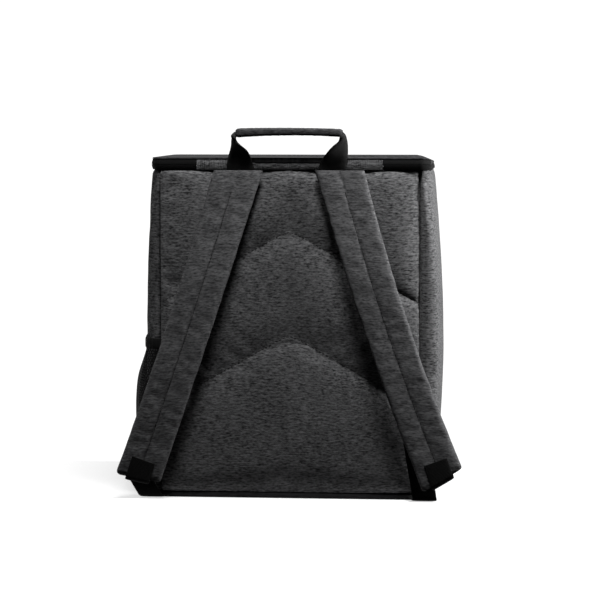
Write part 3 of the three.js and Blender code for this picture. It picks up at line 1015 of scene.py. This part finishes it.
# %% [markdown]
# ### The strap's section
#
# The face is a grid across the strap, dense at its middle seam and its turned edges. Held
# along those, it is simulated like the panels, so that each lobe swells and puckers.

# %% Straps
EDGE_ROLL = 3.2
GROOVE = 0.75
GROOVE_WIDTH = 1.0
END_ROUND = 0.988
CORNER_ROUND = 3.0


def section_height(a, half_width, half_thick):
    """Height of the strap's face above its middle, at a share of its half width."""
    from_edge = (1 - abs(a)) * half_width
    edge = math.sqrt(max(1 - (1 - min(from_edge / EDGE_ROLL, 1.0)) ** 2, 0.0))
    crown = 0.9 + 0.1 * (1 - ((abs(a) - 0.5) / 0.5) ** 2)
    groove = GROOVE * math.exp(-(a * half_width / GROOVE_WIDTH) ** 2)
    return half_thick * edge * crown - groove


ACROSS = sorted({round(v, 4) for v in [math.sin(math.pi / 2 * t) for t in steps(22, -1, 1)]
                 + [-0.06, -0.03, 0.03, 0.06]})


def strap_grids(name):
    strap = STRAPS[name]
    face, back, groove_line = [], [], []
    stations = steps(6, 0.0, 0.05)[:-1] + steps(110, 0.05, 0.97)[:-1] + steps(12, 0.97, 1.0)
    for t in stations:
        middle, down, across, facing = strap_frame(strap, t)
        rounded = max(t - END_ROUND, 0.0) / (1 - END_ROUND)
        half_width = STRAP_WIDTH / 2 * strap_share(t, 4) - CORNER_ROUND * (1 - math.sqrt(1 - rounded ** 2))
        half_thick = STRAP_THICKNESS / 2 * strap_share(t, 3) * (1 - 0.2 * smoothstep(t, 0.985, 1.0))
        top = 1 - smoothstep(t, 0.02, 0.12)
        skewed = strap["skew"] * STRAP_WIDTH / 2 * smoothstep(t, 0.9, 1.0)
        cut = skewed - top * across[2] * half_width / down[2]
        facing = unit(facing * (1 - top) + np.array((0, -1, 0)) * top)
        wavy = 0.5 * noise.noise((t * 26.0, strap["side"] * 3.3, 0.0))
        rows = ([], [])
        for a in ACROSS:
            lean = 1 + (wavy / half_width) * (1 if a > 0 else -1) * abs(a)
            at = middle + across * a * half_width * lean + down * a * cut
            height = section_height(a, half_width, half_thick)
            rows[0].append(at + facing * height)
            rows[1].append(at - facing * max(height, half_thick * 0.3) * (1 if abs(a) < 1 else 0))
        face.append(rows[0])
        back.append(rows[1])
    return np.array(face), np.array(back)


strap_faces = {}
for name, strap in STRAPS.items():
    drawn, under = strap_grids(name)
    middle_column = ACROSS.index(0.0)
    held = np.zeros(drawn.shape[:2], dtype=bool)
    held[:, [0, 1, middle_column, -2, -1]] = True
    held[[0, -1], :] = True
    face = pillow(drawn, held, (0, -1, 0), 1.5, 0.006, 0.7)
    strap_faces[name] = face
    rings = np.concatenate([face, under[:, -2:0:-1]], axis=1)
    piece = loft("shoulder_strap_pad_" + name, rings, strap_cloth, weft="around")
    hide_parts("shoulder_strap_" + name)
print("strap face rows and columns:", face.shape[:2])

# %% [markdown]
# ### Webbing at the straps' ends
#
# A patch of webbing is sewn on the strap's face and folded over its end. A second length
# hangs behind the strap and runs along the floor to the corner, where the seam holds it; its
# black strip beside the strap's inner edge stands partly for webbing, partly for painted shade.

# %% Strap webbing
WEB_WIDTH = 25.0
WEB_THICKNESS = 1.8
PATCH = 21.0


def rounded_route(keys, count, softness):
    """Rows evenly along straight runs between key rows, the corners rounded off."""
    keys = np.asarray(keys, dtype=float)
    run = np.concatenate([[0.0], np.cumsum(np.linalg.norm(np.diff(keys[:, :3], axis=0), axis=1))])
    at = np.linspace(0.0, run[-1], count)
    shifted = [[np.interp(at + k, run, column) for column in keys.T] for k in steps(8, -softness, softness)]
    return np.mean(shifted, axis=0).T


def band_along(keys, softness=2.6):
    """Rings of webbing along key rows, each a place and the direction of the width."""
    points = rounded_route([np.concatenate(key) for key in keys], 70, softness)
    rings = []
    for row, forward in zip(points, np.gradient(points[:, :3], axis=0)):
        wide = unit(row[3:])
        rings.append(band_ring(row[:3], wide, unit(np.cross(forward, wide)), WEB_WIDTH, WEB_THICKNESS))
    return rings


for name, strap in STRAPS.items():
    middle, down, across, facing = strap_frame(strap, 1.0)
    lift = STRAP_THICKNESS / 2 + GAP + WEB_THICKNESS / 2
    slanted = unit(across + down * strap["skew"])
    level = (float(strap["side"]), 0.0, 0.0)
    patch = [
        (middle - down * PATCH + facing * lift, across),
        (middle + down * 0.6 + facing * (lift - 0.4), slanted),
        (middle + down * 3.4 + facing * (lift - 3.0), slanted),
        (middle + down * 3.4 - facing * (lift - 1.0), slanted),
        (middle - down * 6.0 - facing * lift, across),
    ]
    foot = [
        (strap["tuck"], level),
        ((*strap["foot"], WEB_THICKNESS / 2 + GAP), level),
        ((strap["side"] * (SEAM_X - GAP / 2), BACK_Y - 2 * GAP, BASE_TOP / 2), level),
    ]
    piece = loft("strap_webbing_band_" + name, band_along(patch, 1.6), webbing,
                 more=[band_along(foot)])
    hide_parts("strap_webbing_" + name)
print("webbing bands:", len(STRAPS))

# %% [markdown]
# ## Net pocket
#
# A knitted net with six-sided holes hangs out from the left side panel. Each cell is a
# ring of yarn: shared corners at the front and the back, and its own inner edge between
# them, so the net is real geometry that light and sight go through.

# %% Net
POCKET_TOP = box_mm("side_pocket_elastic")[1].z
ELASTIC_HEIGHT = 11.0
NET_SWELL = 18.5
MOUTH = 2.0
CELL = 3.1
YARN = 0.95
NET_DEPTH = 0.8
NET_OUT = [(0, 0), (0.12, 0.4), (0.3, 0.85), (0.5, 1.0), (0.75, 0.8), (1.0, 0.0)]
NET_CURVE = smooth_rows(NET_OUT, 40)
net_low = FOOT_Z
net_high = POCKET_TOP - ELASTIC_HEIGHT + 0.5


def on_side(walked, z, outset):
    """A point outside the left side panel, at a distance walked round it and a height."""
    walked = min(max(walked, 0.0), SIDE_RUN)
    if walked < CORNER_RUN:
        station = (walked / CORNER_RUN, -1.0)
    elif walked > SIDE_RUN - CORNER_RUN:
        station = ((SIDE_RUN - walked) / CORNER_RUN, 1.0)
    else:
        station = (1.0, 2 * (walked - CORNER_RUN) / (SIDE_RUN - 2 * CORNER_RUN) - 1)
    return side_point(-1, station, z, outset)


def on_pocket(walked, z, extra):
    """A point of the hanging net, at a distance walked and a height."""
    spread = math.sin(math.pi * walked / SIDE_RUN)
    t = (z - net_low) / (net_high - net_low)
    out = float(np.interp(t, NET_CURVE[:, 0], NET_CURVE[:, 1]))
    standoff = GAP + 0.6 + MOUTH * spread * t ** 4 + NET_SWELL * out * max(spread, 0.0) ** 0.6
    standoff += uneven((walked, z, 0), 30.0, 1.2) * spread * math.sin(math.pi * t)
    return on_side(walked, z, max(standoff, GAP + NET_DEPTH / 2) + extra)


def net_mesh():
    """Points, cutting pattern and faces of the net, closed along its borders."""
    rows = int((net_high - net_low) / (CELL * 0.86))
    columns = int(SIDE_RUN / CELL)
    unit_x = SIDE_RUN / columns / 6
    unit_z = (net_high - net_low) / (3 * rows + 1)
    ring = ((-3, -1), (0, -2), (3, -1), (3, 1), (0, 2), (-3, 1))
    points, flat, faces, shared, twin = [], [], [], {}, {}

    def add_point(walked, z, extra):
        points.append(on_pocket(walked, z, extra))
        flat.append((walked, z))
        return len(points) - 1

    def corner(i, j):
        if (i, j) not in shared:
            front = add_point(i * unit_x, net_low + j * unit_z, NET_DEPTH / 2)
            behind = add_point(i * unit_x, net_low + j * unit_z, -NET_DEPTH / 2)
            shared[i, j] = (front, behind)
            twin[front] = behind
        return shared[i, j]

    for r in range(rows):
        for c in range(columns - r % 2):
            i, j = 6 * c + 3 + 3 * (r % 2), 3 * r + 2
            corners = [corner(i + di, j + dj) for di, dj in ring]
            hole = []
            for di, dj in ring:
                x, z = di * unit_x, dj * unit_z
                open_share = 1 - 0.58 * YARN / math.hypot(x, z)
                across, up = i * unit_x + x * open_share, net_low + j * unit_z + z * open_share
                hole.append(add_point(across, up, 0.0))
            for k in range(6):
                n = (k + 1) % 6
                faces.append((hole[k], hole[n], corners[n][0], corners[k][0]))
                faces.append((corners[k][1], corners[n][1], hole[n], hole[k]))
    used = {edge for face in faces for edge in zip(face, face[1:] + face[:1])}
    for p, q in sorted(used):
        if p in twin and q in twin and (q, p) not in used:
            faces.append((q, p, twin[p], twin[q]))
    return np.array(points), flat, faces


points, flat, faces = net_mesh()
if not turned_out(points, faces):
    faces = [face[::-1] for face in faces]
net = mesh_object("side_pocket_net", points, faces, [flat[v] for face in faces for v in face],
                  net_yarn, crease=80.0)
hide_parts("side_pocket_mesh")
print("net cells and faces:", len(faces) // 12, len(faces))

# %% [markdown]
# ## Elastic
#
# A woven elastic band gathers the net at its mouth, so it has small upright ripples.

# %% Elastic
def elastic_rings(count=190, rows=6):
    rings = []
    for s in steps(count):
        walked = SIDE_RUN * s
        spread = math.sin(math.pi * s)
        face, back = [], []
        for t in steps(rows):
            z = POCKET_TOP - ELASTIC_HEIGHT * (1 - t)
            ripple = 0.35 * math.sin(2 * math.pi * walked / 4.2 + 2.0 * math.sin(walked / 11.0))
            ripple *= min(s, 1 - s, 0.05) / 0.05
            edge = 0.5 * (abs(2 * t - 1) ** 6)
            face.append(on_side(walked, z, GAP + MOUTH * spread + 2.1 - edge + ripple))
            back.append(on_side(walked, z, GAP + MOUTH * spread + 0.3 + edge * 0.5 + ripple))
        rings.append(face + back[::-1])
    return rings


elastic = loft("side_pocket_band", elastic_rings(), elastic_cloth)
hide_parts("side_pocket_elastic")

# %% [markdown]
# ## Stitching
#
# The two chevrons and the middle seams of the straps get their thread: one small closed
# stitch after another, each sunk at both ends where the needle took it. They lie on the
# points of the simulated cloth, so they follow every pucker.

# %% Stitches
STITCH = 3.2
STITCH_SPACE = 0.9
THREAD_RADIUS = 0.32


def stitch_points(start, end, up):
    """The rings of one stitch between two points on the cloth."""
    forward = unit(end - start)
    side = unit(np.cross(forward, up))
    over = np.cross(side, forward)
    shape = ((0.0, -0.25, 0.5), (0.15, 0.12, 1.0), (0.5, 0.26, 1.05), (0.85, 0.12, 1.0), (1.0, -0.25, 0.5))
    rings = []
    for share, lift, thick in shape:
        middle = start + (end - start) * share + over * lift
        ring = []
        for k in range(5):
            angle = 2 * math.pi * k / 5
            ring.append(middle + (side * math.cos(angle) + over * math.sin(angle)) * THREAD_RADIUS * thick)
        rings.append(ring)
    return rings


def sew(name, lines):
    """One object with the stitches along several lines of (points, outward directions)."""
    points, faces = [], []
    for path, ups in lines:
        path = np.asarray(path)
        run = np.concatenate([[0.0], np.cumsum(np.linalg.norm(np.diff(path, axis=0), axis=1))])
        place = lambda d: np.array([np.interp(d, run, path[:, k]) for k in range(3)])
        ups = np.broadcast_to(np.asarray(ups, dtype=float), path.shape)
        above = lambda d: np.array([np.interp(d, run, ups[:, k]) for k in range(3)])
        count = max(int(run[-1] / (STITCH + STITCH_SPACE)), 1)
        for s in range(count):
            at = run[-1] * (s + 0.5) / count
            start, end = place(at - STITCH / 2), place(at + STITCH / 2)
            first = len(points)
            rings = stitch_points(start, end, above(at))
            points += [p for ring in rings for p in ring]
            for r in range(4):
                for k in range(5):
                    a, b = first + r * 5 + k, first + r * 5 + (k + 1) % 5
                    faces.append((a, b, b + 5, a + 5))
            faces.append(tuple(first + k for k in range(5))[::-1])
            faces.append(tuple(first + 20 + k for k in range(5)))
    if not turned_out(points, faces):
        faces = [face[::-1] for face in faces]
    flat = [(points[v][0] + points[v][1], points[v][2]) for face in faces for v in face]
    return mesh_object(name, points, faces, flat, thread, crease=80.0)


def strap_line(name, column, lift=0.05):
    """A line down a strap's face at one column, with the directions out of the cloth."""
    grid = strap_faces[name]
    here = grid[:, column]
    beside = grid[:, column + 1] - grid[:, column - 1]
    ahead = np.gradient(here, axis=0)
    out = np.cross(ahead, beside)
    out /= np.linalg.norm(out, axis=1, keepdims=True)
    out[out[:, 1] > 0] *= -1
    return here + out * lift, out


STITCH_MARGIN = 3
for name in STRAPS:
    centre = strap_line(name, ACROSS.index(0.0))
    line = (centre[0][8:-STITCH_MARGIN], centre[1][8:-STITCH_MARGIN])
    sew("strap_stitches_" + name, [line])

chevron_rows = (PAD_ROWS[0], PAD_ROWS[0] + PAD_ROWS[1])
panel_lines = [(panel_face[row, 2:-2] + np.array((0, -0.05, 0)), (0.0, -1.0, 0.0)) for row in chevron_rows]
sew("panel_stitches", panel_lines)
print("stitch meshes:", sum(1 for p in made_pieces if "stitches" in p.name))

# %% [markdown]
# ## Finish
#
# The number of pieces and triangles of the finished model is printed.

# %% Finish
print("pieces:", len(made_pieces), "triangles:",
      sum(len(p.vertices) - 2 for piece in made_pieces for p in piece.data.polygons))
